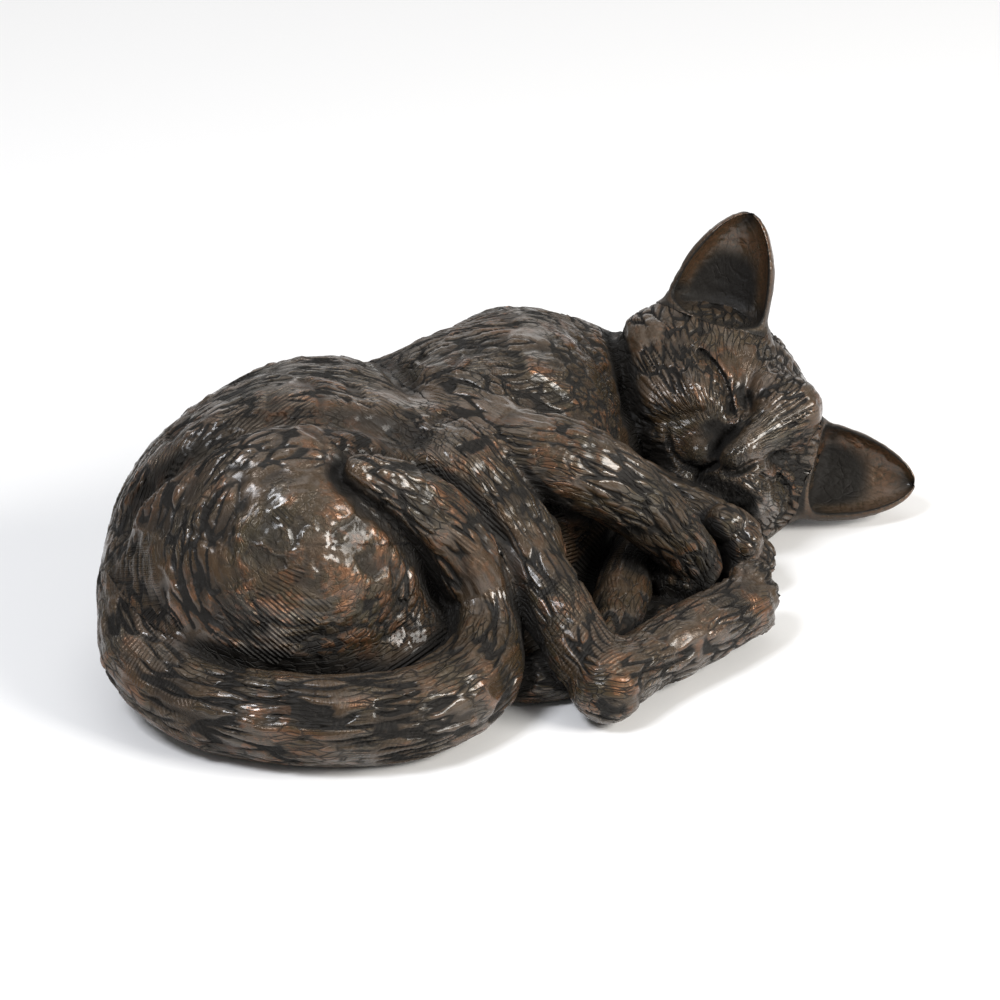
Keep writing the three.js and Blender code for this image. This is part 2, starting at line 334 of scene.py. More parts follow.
# A coarse map of every shape, so that far shapes cost nothing at the fine grid.
coarseStep = 5.0                           # mm
mapMargin = 15                             # mm
reach = {"hindBody": 30, "foreBody": 30}   # mm, nearer than this a shape is worked out afresh
limbReach = 14                             # mm, the same for all the others
mapLow = np.array(cadBox[0]) / mm - mapMargin
mapCount = np.ceil((np.array(cadBox[1]) / mm + mapMargin - mapLow) / coarseStep).astype(int) + 1
mapAxes = [mapLow[i] + coarseStep * np.arange(mapCount[i]) for i in range(3)]
grid = np.stack(np.meshgrid(*mapAxes, indexing="ij"), -1).reshape(-1, 3).astype(np.float32)
coarseMap = {name: shape(grid).reshape(mapCount) for name, shape in shapes.items()}
print("coarse map", grid.shape[0], "points")


def distances(p):
    index = np.clip(np.rint((p - mapLow) / coarseStep).astype(int), 0, mapCount - 1)
    out = {}
    for name, shape in shapes.items():
        d = coarseMap[name][index[:, 0], index[:, 1], index[:, 2]].astype(np.float32)
        near = d < reach.get(name, limbReach)
        if near.any():
            d[near] = shape(p[near])
        out[name] = d
    return out


def figure(p, s):
    x, y = p[:, 0], p[:, 1]
    back = ramp(y, 22, 60)   # creases are sharp in front and soft over the back
    d = crease(s["hindBody"], s["foreBody"], 4 + 12 * back, 2.2 * (1 - back), 4)
    legRoot = ramp(y, -34, -8)
    d = crease(d, s["hindLeg"], 1.5 + 7 * legRoot, 1.2 * (1 - legRoot), 2)
    d = crease(d, s["lowerHindLeg"], 1.5, 1, 1.6)
    armRoot = 1 - ramp(x, -12, 16)
    d = crease(d, s["upperForeleg"], 1.5 + 7 * armRoot, 1.6 * (1 - armRoot), 2.4)
    d = crease(d, s["lowerForeleg"], 1.5, 1.2, 2)
    tailRoot = 1 - ramp(x, -110, -40)
    d = crease(d, s["curledTail"], 1.2 + 7 * tailRoot, 2.4 * (1 - tailRoot), 3)
    skull = merge(merge(s["skull"], s["upperEar"], 5), s["lowerEar"], 5)
    front = ramp((p - headCentre.astype(np.float32)) @ noseward, -22, 0)
    d = crease(d, skull, 7 - 5.5 * front, 2.4 * front, 3)
    return d


def pieceField(name, p):
    s = distances(p)
    own = s[name] - np.min([s[other] for other in shapes if other != name], axis=0)
    d = np.maximum(figure(p, s), own / 2 - rough["overlap"])
    d = np.maximum(d, castingFloor - p[:, 2])
    if name in ("hindBody", "foreBody"):
        torso = np.minimum(s["hindBody"], s["foreBody"])
        mouth = np.maximum(torso + rough["mouthRim"], p[:, 2] - castingFloor - rough["mouthDepth"])
        d = np.maximum(d, -mouth)
    return d


# Surface nets: one vertex in each grid cell that the surface crosses.
corners = np.array([(i, j, k) for i in (0, 1) for j in (0, 1) for k in (0, 1)])
edges = [(a, b) for a in range(8) for b in range(a + 1, 8) if abs(corners[a] - corners[b]).sum() == 1]


firstPass = 4        # grid steps between the points of the rough first pass
nearBand = 4.2       # grid steps from the surface, inside which every point is worked out
batchSize = 400000   # points


def netSurface(name, cell):
    step = firstPass * cell
    own = coarseMap[name].reshape(-1) < coarseStep
    low, high = grid[own].min(0) - coarseStep, grid[own].max(0) + coarseStep
    count = np.ceil((high - low) / step).astype(int)
    axes = [low[i] + step * np.arange(count[i] + 1) for i in range(3)]
    points = np.stack(np.meshgrid(*axes, indexing="ij"), -1).reshape(-1, 3).astype(np.float32)
    coarse = pieceField(name, points).reshape(count + 1)
    pick = [np.rint(np.arange(firstPass * n + 1) / firstPass).astype(int) for n in count]
    field = coarse[np.ix_(*pick)]
    near = np.nonzero(np.abs(field) < nearBand * cell)
    spots = (np.stack(near, -1) * cell + low).astype(np.float32)
    batches = np.array_split(spots, 1 + len(spots) // batchSize)
    field[near] = np.concatenate([pieceField(name, batch) for batch in batches])
    inside = field < 0
    shape = np.array(field.shape) - 1
    views = [inside[i:i + shape[0], j:j + shape[1], k:k + shape[2]] for i, j, k in corners]
    total = np.zeros(shape, np.int8)
    for each in views:
        total += each
    active = np.nonzero((total > 0) & (total < 8))   # cells with corners on both sides
    value = np.stack([field[active[0] + i, active[1] + j, active[2] + k] for i, j, k in corners], -1)
    place = np.zeros((len(active[0]), 3))
    crossed = np.zeros(len(active[0]))
    for a, b in edges:
        va, vb = value[:, a], value[:, b]
        cut = (va < 0) != (vb < 0)
        t = np.where(cut, va / np.where(cut, va - vb, 1), 0)[:, None]
        place += np.where(cut[:, None], corners[a] + t * (corners[b] - corners[a]), 0)
        crossed += cut
    verts = low + cell * (np.stack(active, -1) + place / crossed[:, None])
    ids = np.full(shape, -1, np.int32)
    ids[active] = np.arange(len(verts))
    faces = []   # a quad round every grid edge that the surface crosses, wound outwards
    for axis in range(3):
        u, v = (axis + 1) % 3, (axis + 2) % 3
        a = np.take(inside, range(0, inside.shape[axis] - 1), axis)
        b = np.take(inside, range(1, inside.shape[axis]), axis)
        hit = np.stack(np.nonzero(a != b), -1)
        hit = hit[(hit[:, u] > 0) & (hit[:, v] > 0)
                  & (hit[:, u] < shape[u]) & (hit[:, v] < shape[v])]
        leaving = a[tuple(hit.T)]
        quad = []
        for du, dv in ((1, 1), (0, 1), (0, 0), (1, 0)):
            at = hit.copy()
            at[:, u] -= du
            at[:, v] -= dv
            quad.append(ids[tuple(at.T)])
        quad = np.stack(quad, -1)
        quad[~leaving] = quad[~leaving][:, ::-1]
        faces.append(quad)
    return verts, np.concatenate(faces)


# Fur coordinates in mm: the first runs along the hair, the other two across it.
def furFrame(stations):
    route = smoothRoute(stations, 4)[:, :3].astype(float)
    tangent = np.gradient(route, axis=0)
    tangent /= np.linalg.norm(tangent, axis=1)[:, None]
    side = unit(np.cross(tangent[0], (0.3, 0.2, 1)))
    sides = []
    for each in tangent:
        side = unit(side - each * (side @ each))
        sides.append(side)
    sides = np.array(sides)
    along = np.concatenate([[0], np.cumsum(np.linalg.norm(np.diff(route, axis=0), axis=1))])
    return route, along, sides, np.cross(tangent, sides)


def furAlong(p, stations):
    route, along, sides, others = furFrame(stations)
    best = np.full(len(p), 1e9)
    out = np.zeros((len(p), 3))
    for i in range(len(route) - 1):
        a, ab = route[i], route[i + 1] - route[i]
        q = p - a
        t = np.clip((q @ ab) / (ab @ ab), 0, 1)
        off = q - t[:, None] * ab
        far = (off * off).sum(1)
        closer = far < best
        best = np.where(closer, far, best)
        s = along[i] + t * (along[i + 1] - along[i])
        side = sides[i] + t[:, None] * (sides[i + 1] - sides[i])
        other = others[i] + t[:, None] * (others[i + 1] - others[i])
        here = np.stack([s, (off * side).sum(1), (off * other).sum(1)], -1)
        out = np.where(closer[:, None], here, out)
    return out


def furFromNose(p, fullWidth=34):
    ray = p - onHead(2, 30, 3)
    far = np.linalg.norm(ray, axis=1)
    ray = ray / far[:, None] * fullWidth   # at this distance in mm the hair has its own width
    return np.stack([far, ray @ earward, ray @ crownward], -1)


curl = {
    "centre": (-52, -14, 36),    # mm, the fur of the haunch runs round it
    "up": unit((0, 0.42, 0.9)),
    "out": unit((0, -0.9, 0.42)),
    "radius": 48,                # mm, where a stroke has its full length
}


def furAround(p):
    q = p - np.array(curl["centre"])
    right, up = q[:, 0], q @ curl["up"]
    turn = np.arctan2(-up, -right) * curl["radius"]
    return np.stack([turn, np.hypot(right, up), q @ curl["out"]], -1)


furRules = {
    "hindBody": furAround,
    "foreBody": lambda p: furAlong(p, spineStations),
    "hindLeg": lambda p: furAlong(p, shinStations + footStations[1:]),
    "lowerHindLeg": lambda p: furAlong(p, lowerHindStations),
    "upperForeleg": lambda p: furAlong(p, upperForeStations),
    "lowerForeleg": lambda p: furAlong(p, lowerForeStations),
    "curledTail": lambda p: furAlong(p, tailStations),
    "skull": furFromNose,
    "upperEar": furFromNose,
    "lowerEar": furFromNose,
}


def newNode(tree, kind, inputs=None, **settings):
    node = tree.nodes.new(kind)
    for key, value in settings.items():
        setattr(node, key, value)
    for key, value in (inputs or {}).items():
        if isinstance(value, bpy.types.NodeSocket):
            tree.links.new(value, node.inputs[key])
        else:
            node.inputs[key].default_value = value
    return node


def calc(tree, operation, a, b=0.0, c=0.0):
    return newNode(tree, "ShaderNodeMath", {0: a, 1: b, 2: c}, operation=operation).outputs[0]


def vectorCalc(tree, operation, a, b=(0, 0, 0)):
    node = newNode(tree, "ShaderNodeVectorMath", {0: a, 1: b}, operation=operation)
    return node.outputs["Value" if operation in ("DOT_PRODUCT", "LENGTH") else "Vector"]


def spread(tree, value, low, high, toLow=0.0, toHigh=1.0):
    node = newNode(tree, "ShaderNodeMapRange", {"Value": value, "From Min": low, "From Max": high,
                                                "To Min": toLow, "To Max": toHigh},
                   interpolation_type="SMOOTHSTEP")
    return node.outputs["Result"]


def noise(tree, where, scale, detail=2.0, roughness=0.5):
    node = newNode(tree, "ShaderNodeTexNoise", {"Vector": where, "Scale": scale, "Detail": detail,
                                                "Roughness": roughness})
    return node.outputs[0]


def colourNoise(tree, where, scale, detail=1.0):
    node = newNode(tree, "ShaderNodeTexNoise", {"Vector": where, "Scale": scale, "Detail": detail})
    return node.outputs[1]


def cellEdge(tree, where, scale=1.0):
    return newNode(tree, "ShaderNodeTexVoronoi", {"Vector": where, "Scale": scale},
                   feature="DISTANCE_TO_EDGE").outputs["Distance"]


def stretched(tree, where, along, across):
    return vectorCalc(tree, "MULTIPLY", where, (1 / along, 1 / across, 1 / across))


def combLines(tree, where, patch, pitch):
    cells = newNode(tree, "ShaderNodeTexVoronoi",
                    {"Vector": where, "Scale": 1 / patch, "Randomness": 0.9})
    turn = vectorCalc(tree, "SUBTRACT", cells.outputs["Color"], (0.5, 0.5, 0.5))
    turn = vectorCalc(tree, "NORMALIZE", turn)
    run = calc(tree, "MULTIPLY", vectorCalc(tree, "DOT_PRODUCT", where, turn), 2 * math.pi / pitch)
    return calc(tree, "SINE", run), cells.outputs["Color"]


# The modeller's marks: dabs of clay, locks of fur and thin cuts along it.
toolMarks = {
    "Dab Size": 11.0,      # mm, pads of clay pressed on
    "Dab Depth": 0.9,      # mm
    "Lock Length": 22.0,   # mm, broad locks of fur
    "Lock Depth": 0.8,     # mm
    "Cut Length": 15.0,    # mm, thin knife cuts along the fur
    "Cut Spacing": 3.2,    # mm
    "Cut Depth": 1.0,      # mm
}


def readLayer(tree, name, kind="FLOAT"):
    return newNode(tree, "GeometryNodeInputNamedAttribute", {"Name": name}, data_type=kind).outputs[0]


def storeLayer(tree, geometry, name, value):
    return newNode(tree, "GeometryNodeStoreNamedAttribute",
                   {"Geometry": geometry, "Name": name, "Value": value}, data_type="FLOAT").outputs[0]


def toolMarkTree():
    tree = bpy.data.node_groups.new("toolMarks", "GeometryNodeTree")
    tree.is_modifier = True
    tree.interface.new_socket("Geometry", in_out="INPUT", socket_type="NodeSocketGeometry")
    for label, value in toolMarks.items():
        socket = tree.interface.new_socket(label, in_out="INPUT", socket_type="NodeSocketFloat")
        socket.default_value = value
    tree.interface.new_socket("Finish", in_out="INPUT", socket_type="NodeSocketMaterial")
    tree.interface.new_socket("Geometry", in_out="OUTPUT", socket_type="NodeSocketGeometry")
    given = tree.nodes.new("NodeGroupInput").outputs
    result = tree.nodes.new("NodeGroupOutput")
    place = tree.nodes.new("GeometryNodeInputPosition").outputs[0]
    place = vectorCalc(tree, "MULTIPLY", place, (1 / mm,) * 3)
    fur = readLayer(tree, "fur", "FLOAT_VECTOR")
    calm = readLayer(tree, "calm")
    furred = readLayer(tree, "furred")

    # dabs: each cell is a small tilted facet with a soft lip
    wander = vectorCalc(tree, "MULTIPLY", colourNoise(tree, place, 0.11), (7.0, 7.0, 7.0))
    bent = vectorCalc(tree, "ADD", place, wander)
    dabScale = calc(tree, "DIVIDE", 1.0, given["Dab Size"])
    cells = newNode(tree, "ShaderNodeTexVoronoi", {"Vector": bent, "Scale": dabScale})
    away = vectorCalc(tree, "SUBTRACT", bent, cells.outputs["Position"])
    away = newNode(tree, "ShaderNodeVectorMath", {0: away, "Scale": dabScale}, operation="SCALE").outputs[0]
    lean = vectorCalc(tree, "SUBTRACT", cells.outputs["Color"], (0.5, 0.5, 0.5))
    tilt = calc(tree, "MULTIPLY", vectorCalc(tree, "DOT_PRODUCT", away, lean), 1.6)
    rim = cellEdge(tree, bent, dabScale)
    dabs = calc(tree, "MULTIPLY", tilt, spread(tree, rim, 0.0, 0.09))
    dabs = calc(tree, "MULTIPLY", dabs, given["Dab Depth"])

    # locks: broad soft ridges along the fur, then thin cuts between them
    drift = vectorCalc(tree, "SUBTRACT", colourNoise(tree, place, 0.07), (0.5, 0.5, 0.5))
    flow = vectorCalc(tree, "ADD", fur, vectorCalc(tree, "MULTIPLY", drift, (8.0, 4.0, 4.0)))
    perLock = calc(tree, "DIVIDE", 1.0, given["Lock Length"])
    lockSize = newNode(tree, "ShaderNodeCombineXYZ", {0: perLock, 1: 0.26, 2: 0.26}).outputs[0]
    locks = noise(tree, vectorCalc(tree, "MULTIPLY", flow, lockSize), 1.0, 1.5, 0.55)
    lockRise = calc(tree, "MULTIPLY", calc(tree, "SUBTRACT", locks, 0.5), given["Lock Depth"])
    lockRise = calc(tree, "MULTIPLY", lockRise, 2.4)
    perCut = calc(tree, "DIVIDE", 1.0, given["Cut Spacing"])
    perLength = calc(tree, "DIVIDE", 1.0, given["Cut Length"])
    cutSize = newNode(tree, "ShaderNodeCombineXYZ", {0: perLength, 1: perCut, 2: perCut}).outputs[0]
    tufts = vectorCalc(tree, "MULTIPLY", flow, cutSize)
    cuts = spread(tree, cellEdge(tree, tufts), 0.16, 0.0)
    tuftColour = newNode(tree, "ShaderNodeTexVoronoi", {"Vector": tufts, "Scale": 1.0}).outputs["Color"]
    tuftLift = newNode(tree, "ShaderNodeSeparateXYZ", {0: tuftColour}).outputs[0]
    patches = calc(tree, "MULTIPLY", spread(tree, noise(tree, place, 0.075, 1.0), 0.36, 0.56), furred)
    scored = calc(tree, "MULTIPLY", calc(tree, "MULTIPLY", cuts, patches), calm)
    cuts = calc(tree, "ADD", cuts, calc(tree, "MULTIPLY", tuftLift, 0.35))
    cutRise = calc(tree, "MULTIPLY", calc(tree, "MULTIPLY", cuts, patches), given["Cut Depth"])
    total = calc(tree, "SUBTRACT", calc(tree, "ADD", dabs, lockRise), cutRise)
    total = calc(tree, "MULTIPLY", total, calm)

    move = tree.nodes.new("GeometryNodeInputNormal").outputs[0]
    move = vectorCalc(tree, "MULTIPLY", move, (mm, mm, mm))
    move = newNode(tree, "ShaderNodeVectorMath", {0: move, "Scale": total}, operation="SCALE").outputs[0]
    marked = storeLayer(tree, given["Geometry"], "relief", total)
    marked = storeLayer(tree, marked, "scored", scored)
    moved = newNode(tree, "GeometryNodeSetPosition", {"Geometry": marked, "Offset": move})
    smooth = newNode(tree, "GeometryNodeSetShadeSmooth", {"Geometry": moved.outputs[0]})
    real = newNode(tree, "GeometryNodeRealizeInstances", {"Geometry": smooth.outputs[0]})
    finish = newNode(tree, "GeometryNodeSetMaterial", {"Geometry": real.outputs[0],
                                                       "Material": given["Finish"]})
    tree.links.new(finish.outputs[0], result.inputs[0])
    return tree


patina = {
    "umber": (0.053, 0.0325, 0.017, 1),   # linear colours
    "pitch": (0.006, 0.0045, 0.003, 1),
    "copper": (0.155, 0.072, 0.034, 1),
    # grey of dust and a painted sky sheen, for the upward faces
    "dustSheenGrey": (0.108, 0.084, 0.063, 1),
    "moss": (0.042, 0.032, 0.016, 1),
    "combPatch": 19.0,     # mm, each patch is combed one way
    "combPitch": 1.15,     # mm
    "combDepth": 0.34,     # mm, this and the next three are fine enough to be bump only
    "hairDepth": 0.35,     # mm
    "wispDepth": 0.4,      # mm
    "grainDepth": 0.18,    # mm
    "polish": 0.12,        # lowest roughness
    "lacquer": 0.9,        # coat weight in the shiny patches
}


def newMaterial(name):
    material = bpy.data.materials.new(name)
    material.use_nodes = True
    tree = material.node_tree
    tree.nodes.clear()
    shader = newNode(tree, "ShaderNodeBsdfPrincipled")
    newNode(tree, "ShaderNodeOutputMaterial", {"Surface": shader.outputs[0]})
    return material, tree, shader


def mixColour(tree, amount, a, b):
    node = newNode(tree, "ShaderNodeMix", {0: amount}, data_type="RGBA")
    for socket, value in ((node.inputs[6], a), (node.inputs[7], b)):
        if isinstance(value, bpy.types.NodeSocket):
            tree.links.new(value, socket)
        else:
            socket.default_value = value
    return node.outputs[2]


def attribute(tree, name, output="Fac"):
    return newNode(tree, "ShaderNodeAttribute", attribute_name=name).outputs[output]


def bronzePatina():
    material, tree, shader = newMaterial("bronzePatina")
    place = newNode(tree, "ShaderNodeTexCoord").outputs["Object"]
    place = vectorCalc(tree, "MULTIPLY", place, (1 / mm,) * 3)
    fur = attribute(tree, "fur", "Vector")
    relief = attribute(tree, "relief")
    occlusionShade = attribute(tree, "occlusionShade")
    normal = newNode(tree, "ShaderNodeNewGeometry").outputs["Normal"]
    facing = newNode(tree, "ShaderNodeSeparateXYZ", {0: normal}).outputs[2]

    drift = vectorCalc(tree, "MULTIPLY", colourNoise(tree, place, 0.09), (9.0, 4.0, 4.0))
    flow = vectorCalc(tree, "ADD", fur, drift)
    blotch = noise(tree, place, 0.06, 3.0, 0.6)
    hair = noise(tree, stretched(tree, flow, 13.0, 0.9), 1.0, 2.0, 0.6)
    wispEdge = cellEdge(tree, stretched(tree, flow, 8.0, 1.5))
    wisps = calc(tree, "MULTIPLY", spread(tree, wispEdge, 0.14, 0.0), spread(tree, blotch, 0.4, 0.55))
    hairy = spread(tree, attribute(tree, "calm"), 0.1, 0.5)
    hairy = calc(tree, "MULTIPLY", hairy, attribute(tree, "furred"))
    wisps = calc(tree, "MULTIPLY", wisps, hairy)
    comb, combPick = combLines(tree, place, patina["combPatch"], patina["combPitch"])   # hatching
    combed = newNode(tree, "ShaderNodeSeparateXYZ", {0: combPick}).outputs[0]
    combed = calc(tree, "MULTIPLY", spread(tree, combed, 0.45, 0.55), attribute(tree, "combed"))
    speck = noise(tree, place, 0.8, 2.0, 0.6)

    # brown in clouds, copper where it is rubbed, dust with a painted sky sheen on top, dark patina in the
    # cuts and painted shade in the hollows
    colour = mixColour(tree, spread(tree, blotch, 0.35, 0.7), patina["umber"], patina["moss"])
    ridge = calc(tree, "MULTIPLY", spread(tree, relief, -0.05, 0.5), spread(tree, blotch, 0.36, 0.55))
    patch = spread(tree, noise(tree, place, 0.16, 4.0, 0.65), 0.5, 0.6)
    patch = calc(tree, "MULTIPLY", patch, spread(tree, noise(tree, place, 0.035, 1.0), 0.42, 0.6))
    rubbed = calc(tree, "MAXIMUM", ridge, calc(tree, "MULTIPLY", patch, 0.85))
    rubbed = calc(tree, "MULTIPLY", rubbed, spread(tree, hair, 0.3, 0.55))
    worn = calc(tree, "MULTIPLY", attribute(tree, "edge"), spread(tree, speck, 0.35, 0.55))
    rubbed = calc(tree, "MAXIMUM", rubbed, worn)
    colour = mixColour(tree, rubbed, colour, patina["copper"])
    # upward faces get a grey of dust and a painted sheen of the sky light
    dustAndSkySheen = calc(tree, "MULTIPLY", spread(tree, facing, 0.45, 1.0), spread(tree, speck, 0.25, 0.7))
    colour = mixColour(tree, calc(tree, "MULTIPLY", dustAndSkySheen, 0.6), colour, patina["dustSheenGrey"])
    # pitch: dark patina in the low relief, cuts and wisps, and painted occlusion shade in the hollows
    low = spread(tree, relief, 0.0, -0.7, 0.0, 0.7)
    darkPatinaAndShade = calc(tree, "MAXIMUM", low, spread(tree, occlusionShade, 0.14, 0.55))
    darkPatinaAndShade = calc(tree, "MAXIMUM", darkPatinaAndShade, spread(tree, attribute(tree, "scored"), 0.08, 0.5))
    darkPatinaAndShade = calc(tree, "MAXIMUM", darkPatinaAndShade, calc(tree, "MULTIPLY", wisps, 0.9))
    colour = mixColour(tree, darkPatinaAndShade, colour, patina["pitch"])
    tree.links.new(colour, shader.inputs["Base Color"])

    clean = calc(tree, "SUBTRACT", 1.0, darkPatinaAndShade)
    metal = calc(tree, "MULTIPLY", calc(tree, "MULTIPLY_ADD", rubbed, 0.35, 0.3), clean)
    tree.links.new(metal, shader.inputs["Metallic"])
    matt = calc(tree, "MULTIPLY_ADD", speck, 0.3, patina["polish"])
    matt = calc(tree, "ADD", matt, spread(tree, noise(tree, place, 0.045, 1.0), 0.4, 0.6, 0.14, 0.0))
    matt = calc(tree, "ADD", matt, calc(tree, "MULTIPLY", darkPatinaAndShade, 0.35))
    tree.links.new(matt, shader.inputs["Roughness"])
    shine = spread(tree, noise(tree, place, 0.05, 2.0), 0.38, 0.6, 0.25, patina["lacquer"])
    tree.links.new(calc(tree, "MULTIPLY", shine, clean), shader.inputs["Coat Weight"])
    shader.inputs["Coat Roughness"].default_value = 0.17
    shader.inputs["Specular IOR Level"].default_value = 0.3

    height = calc(tree, "MULTIPLY", calc(tree, "MULTIPLY", comb, combed), patina["combDepth"])
    height = calc(tree, "ADD", height, calc(tree, "MULTIPLY", hair, patina["hairDepth"]))
    height = calc(tree, "SUBTRACT", height, calc(tree, "MULTIPLY", wisps, patina["wispDepth"]))
    height = calc(tree, "ADD", height, calc(tree, "MULTIPLY", speck, patina["grainDepth"]))
    bump = newNode(tree, "ShaderNodeBump", {"Height": height, "Distance": mm, "Strength": 0.9})
    tree.links.new(bump.outputs[0], shader.inputs["Normal"])
    return material


def rawCasting():
    material, tree, shader = newMaterial("rawCasting")
    place = newNode(tree, "ShaderNodeTexCoord").outputs["Object"]
    sand = noise(tree, place, 900.0, 4.0, 0.65)
    stain = noise(tree, place, 45.0, 3.0)
    stain = spread(tree, stain, 0.35, 0.65)
    colour = mixColour(tree, stain, (0.09, 0.055, 0.03, 1), (0.035, 0.026, 0.018, 1))
    tree.links.new(colour, shader.inputs["Base Color"])
    tree.links.new(spread(tree, sand, 0.2, 0.8, 0.45, 0.75), shader.inputs["Roughness"])
    shader.inputs["Metallic"].default_value = 0.7
    bump = newNode(tree, "ShaderNodeBump", {"Height": sand, "Distance": 0.0004, "Strength": 0.8})
    tree.links.new(bump.outputs[0], shader.inputs["Normal"])
    return material


def felt():
    material, tree, shader = newMaterial("felt")
    place = newNode(tree, "ShaderNodeTexCoord").outputs["Object"]
    mat = noise(tree, place, 1400.0, 5.0, 0.7)
    lint = noise(tree, place, 260.0, 2.0)
    colour = mixColour(tree, mat, (0.010, 0.010, 0.011, 1), (0.045, 0.044, 0.046, 1))
    colour = mixColour(tree, spread(tree, lint, 0.6, 0.75), colour, (0.08, 0.078, 0.075, 1))
    tree.links.new(colour, shader.inputs["Base Color"])
    shader.inputs["Roughness"].default_value = 0.95
    shader.inputs["Sheen Weight"].default_value = 0.4
    bump = newNode(tree, "ShaderNodeBump", {"Height": mat, "Distance": 0.0006, "Strength": 1.0})
    tree.links.new(bump.outputs[0], shader.inputs["Normal"])
    return material


marks = toolMarkTree()
bronze = bronzePatina()
identifiers = {item.name: item.identifier for item in marks.interface.items_tree if item.in_out == "INPUT"}


def largestPart(verts, faces):
    label = np.arange(len(verts))
    while True:
        lowest = label[faces].min(1)
        new = label.copy()
        for column in faces.T:
            np.minimum.at(new, column, lowest)
        new = new[new]
        if (new == label).all():
            break
        label = new
    names, counts = np.unique(label, return_counts=True)
    keep = label == names[counts.argmax()]
    index = np.cumsum(keep) - 1
    return verts[keep], index[faces[keep[faces[:, 0]]]]


# How deep the marks go: less in hollows, on the muzzle and on the ears.
def evenMarks(p, closed):
    return 1 - 0.5 * closed


def faceMarks(p, closed):
    ray = p - onHead(2, 30, 2).astype(np.float32)
    return 0.5 + 0.5 * ramp(np.sqrt((ray * ray).sum(1)), 9, 26)


def earMarks(p, closed):
    return np.full(len(p), 0.4)


bodyMarks = {"Dab Depth": 1.4, "Lock Depth": 0.6, "Cut Depth": 0.6, "Cut Length": 30.0}
legMarks = {"Dab Depth": 0.6, "Lock Depth": 0.7, "Cut Depth": 0.8}
tailMarks = {"Dab Depth": 0.5, "Lock Depth": 0.9, "Cut Depth": 0.9, "Cut Length": 26.0, "Cut Spacing": 3.6}
headMarks = {"Dab Depth": 0.5, "Lock Depth": 0.6, "Cut Depth": 0.8, "Lock Length": 14.0, "Cut Length": 17.0,
             "Cut Spacing": 2.2}
bodyRules = {"cell": "bodyCell", "depth": evenMarks, "marks": bodyMarks, "combed": 1.0}
legRules = {"cell": "cell", "depth": evenMarks, "marks": legMarks, "combed": 0.3}
foreLegRules = {**legRules, "combed": 0.0}
tailRules = {**legRules, "marks": tailMarks}
headRules = {"cell": "cell", "depth": faceMarks, "marks": headMarks, "combed": 0.0}
earRules = {**headRules, "depth": earMarks}

# name: the CAD node it stands for, and how it is marked
castings = {
    "hindBody": ("body_shell", bodyRules),
    "foreBody": ("body_shell", bodyRules),
    "curledTail": ("tail", tailRules),
    "hindLeg": ("upper_hind_leg", legRules),
    "lowerHindLeg": ("lower_hind_leg", legRules),
    "upperForeleg": ("upper_foreleg", foreLegRules),
    "lowerForeleg": ("lower_foreleg", foreLegRules),
    "skull": ("head", headRules),
    "upperEar": ("upper_ear", {**earRules, "opens": upperEarSet["opens"]}),
    "lowerEar": ("lower_ear", {**earRules, "opens": lowerEarSet["opens"]}),
}


def meshFrom(name, verts, faces):
    mesh = bpy.data.meshes.new(name)
    mesh.vertices.add(len(verts))
    mesh.vertices.foreach_set("co", (verts * mm).astype(np.float32).ravel())
    mesh.loops.add(faces.size)
    mesh.loops.foreach_set("vertex_index", faces.astype(np.int32).ravel())
    mesh.polygons.add(len(faces))
    mesh.polygons.foreach_set("loop_start", np.arange(0, faces.size, 4, dtype=np.int32))
    mesh.update(calc_edges=True)
    mesh.validate()
    return mesh


def surfaceLayers(name, mesh, p, rules):
    normals = np.zeros(p.size, np.float32)
    mesh.vertices.foreach_get("normal", normals)
    normals = normals.reshape(-1, 3)

    def away(distance):
        q = p + normals * distance
        return figure(q, distances(q))

    closed = np.zeros(len(p))   # 1 where bronze faces bronze at 3 and at 8 mm
    for reachOut in (3.0, 8.0):
        closed += 0.5 * np.clip(1 - away(reachOut) / reachOut, 0, 1)
    edge = np.clip((away(-2) + 1.9) / 1.1, 0, 1)   # 1 where the bronze is thinner than 2 mm
    skin = np.exp(-(away(0) / 0.5) ** 2)           # 0 on the hidden joint faces
    lift = ramp(p[:, 2], castingFloor, castingFloor + 2.5)
    furred = np.ones(len(p))
    wear = 1.0
    if "opens" in rules:
        # the inner face of an ear counts as closed: fainter marks there, and painted shade in its colour
        closed = np.maximum(closed, 0.9 * ramp(normals @ rules["opens"], -0.1, 0.5) * (1 - edge))
        furred *= 0.4
        wear = 0.7
    fur = furRules[name](p)
    if name == "hindBody":   # the top of the haunch is smooth
        furred = 0.35 + 0.65 * ramp(fur[:, 1], 14, 34)
    return {
        "fur": fur,
        # painted occlusion shade: the shader darkens the colour where bronze faces bronze
        "occlusionShade": closed,
        "edge": edge * np.clip(1 - 2 * closed, 0, 1) * wear,
        "calm": rules["depth"](p, closed) * skin * lift,
        "combed": np.full(len(p), rules["combed"]),
        "furred": furred,
    }


